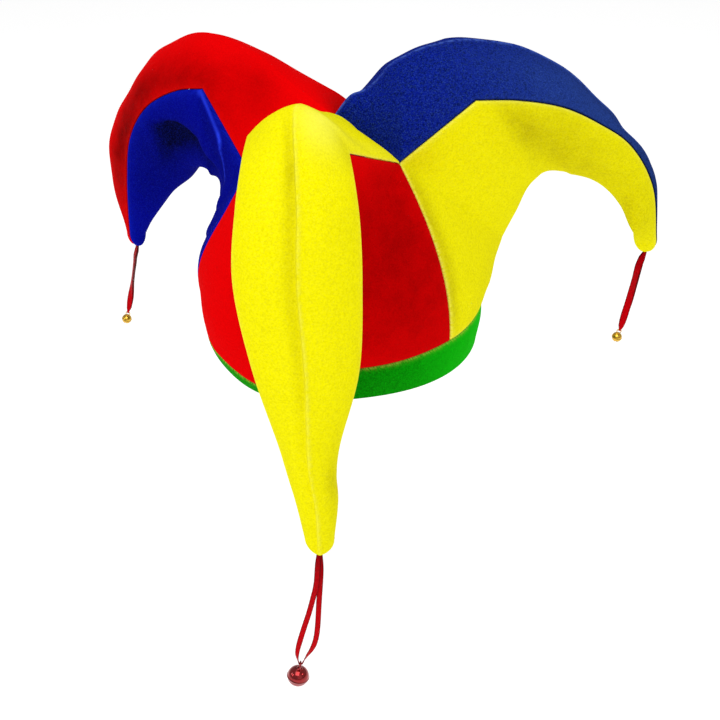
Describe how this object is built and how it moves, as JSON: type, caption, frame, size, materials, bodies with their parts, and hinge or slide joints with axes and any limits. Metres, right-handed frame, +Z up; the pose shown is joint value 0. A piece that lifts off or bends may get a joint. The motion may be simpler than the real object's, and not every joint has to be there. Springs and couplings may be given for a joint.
{
  "type": "three-horned jester hat",
  "caption": "Sewn felt jester hat with drooping hollow horns in contrasting colours, a plain head band and jingle bells hung on satin ribbons from the horn tips.",
  "frame": {"origin": "middle of the head opening, in the plane of the band's lower edge", "axes": "+Z up through the crown, -Y to the front, where the front horn hangs, +X to the wearer's left, which is the right side of the hat as seen from the front"},
  "size_m": [0.4321, 0.2823, 0.4294],
  "materials": {
    "felt_yellow": "short-pile felt",
    "felt_red": "short-pile felt",
    "felt_blue": "short-pile felt",
    "felt_green": "short-pile felt",
    "satin_red": "satin",
    "bell_red": "bright lacquered metal",
    "bell_gold": "bright"
  },
  "bodies": {
    "root": {"front_horn_upper": "felt_yellow", "front_under": "felt_red", "left_horn_upper": "felt_red", "left_under": "felt_blue", "right_horn_upper": "felt_blue", "right_under": "felt_yellow", "band": "felt_green", "front_ribbon": "satin_red", "front_bell": "bell_red", "left_ribbon": "satin_red", "left_bell": "bell_gold", "right_ribbon": "satin_red", "right_bell": "bell_gold"}
  },
  "joints": []
}
